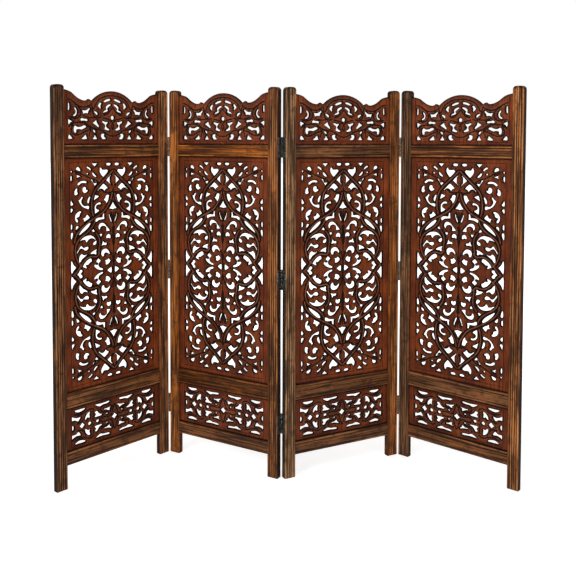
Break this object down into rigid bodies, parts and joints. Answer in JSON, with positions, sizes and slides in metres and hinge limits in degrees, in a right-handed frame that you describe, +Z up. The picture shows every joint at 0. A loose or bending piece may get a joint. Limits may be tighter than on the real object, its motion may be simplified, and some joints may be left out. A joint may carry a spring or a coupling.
{
  "type": "folding jali screen",
  "caption": "Folding room screen of hinged framed leaves with pierced, carved jali panels and wavy crests, standing in a zigzag.",
  "frame": {"origin": "on the floor, under the middle of the box round the standing row", "axes": "+X along the row to the right as seen from the front, +Y to the back, +Z up"},
  "size_m": [1.7602, 0.4108, 1.5239],
  "materials": {
    "carved_wood": "oiled, dark in the cuts, worn on the stems",
    "frame_wood": "reeded, oiled, dark on the arrises",
    "hinge_iron": "blackened"
  },
  "bodies": {
    "leaf_1": {"leaf_1_left_stile": "frame_wood", "leaf_1_right_stile": "frame_wood", "leaf_1_bottom_rail": "frame_wood", "leaf_1_middle_rail": "frame_wood", "leaf_1_upper_rail": "frame_wood", "leaf_1_lower_panel": "carved_wood", "leaf_1_main_panel": "carved_wood", "leaf_1_crest_panel": "carved_wood", "fold_1_left_hinge_plates": "hinge_iron", "fold_1_hinge_pins": "hinge_iron"},
    "leaf_2": {"leaf_2_left_stile": "frame_wood", "leaf_2_right_stile": "frame_wood", "leaf_2_bottom_rail": "frame_wood", "leaf_2_middle_rail": "frame_wood", "leaf_2_upper_rail": "frame_wood", "leaf_2_lower_panel": "carved_wood", "leaf_2_main_panel": "carved_wood", "leaf_2_crest_panel": "carved_wood", "fold_1_right_hinge_plates": "hinge_iron", "fold_2_left_hinge_plates": "hinge_iron", "fold_2_hinge_pins": "hinge_iron"},
    "leaf_3": {"leaf_3_left_stile": "frame_wood", "leaf_3_right_stile": "frame_wood", "leaf_3_bottom_rail": "frame_wood", "leaf_3_middle_rail": "frame_wood", "leaf_3_upper_rail": "frame_wood", "leaf_3_lower_panel": "carved_wood", "leaf_3_main_panel": "carved_wood", "leaf_3_crest_panel": "carved_wood", "fold_2_right_hinge_plates": "hinge_iron", "fold_3_left_hinge_plates": "hinge_iron", "fold_3_hinge_pins": "hinge_iron"},
    "leaf_4": {"leaf_4_left_stile": "frame_wood", "leaf_4_right_stile": "frame_wood", "leaf_4_bottom_rail": "frame_wood", "leaf_4_middle_rail": "frame_wood", "leaf_4_upper_rail": "frame_wood", "leaf_4_lower_panel": "carved_wood", "leaf_4_main_panel": "carved_wood", "leaf_4_crest_panel": "carved_wood", "fold_3_right_hinge_plates": "hinge_iron"}
  },
  "joints": [
    {"name": "fold_1", "type": "hinge", "parent": "leaf_1", "child": "leaf_2", "pos_m": [-0.50195, 0.18194, 0.778], "axis": [0, 0, 1], "range_deg": [-102.1, 77.9]},
    {"name": "fold_2", "type": "hinge", "parent": "leaf_2", "child": "leaf_3", "pos_m": [-0.0269, -0.05967, 0.778], "axis": [0, 0, 1], "range_deg": [-57.8, 122.2]},
    {"name": "fold_3", "type": "hinge", "parent": "leaf_3", "child": "leaf_4", "pos_m": [0.46014, 0.15675, 0.778], "axis": [0, 0, 1], "range_deg": [-112, 68]}
  ]
}
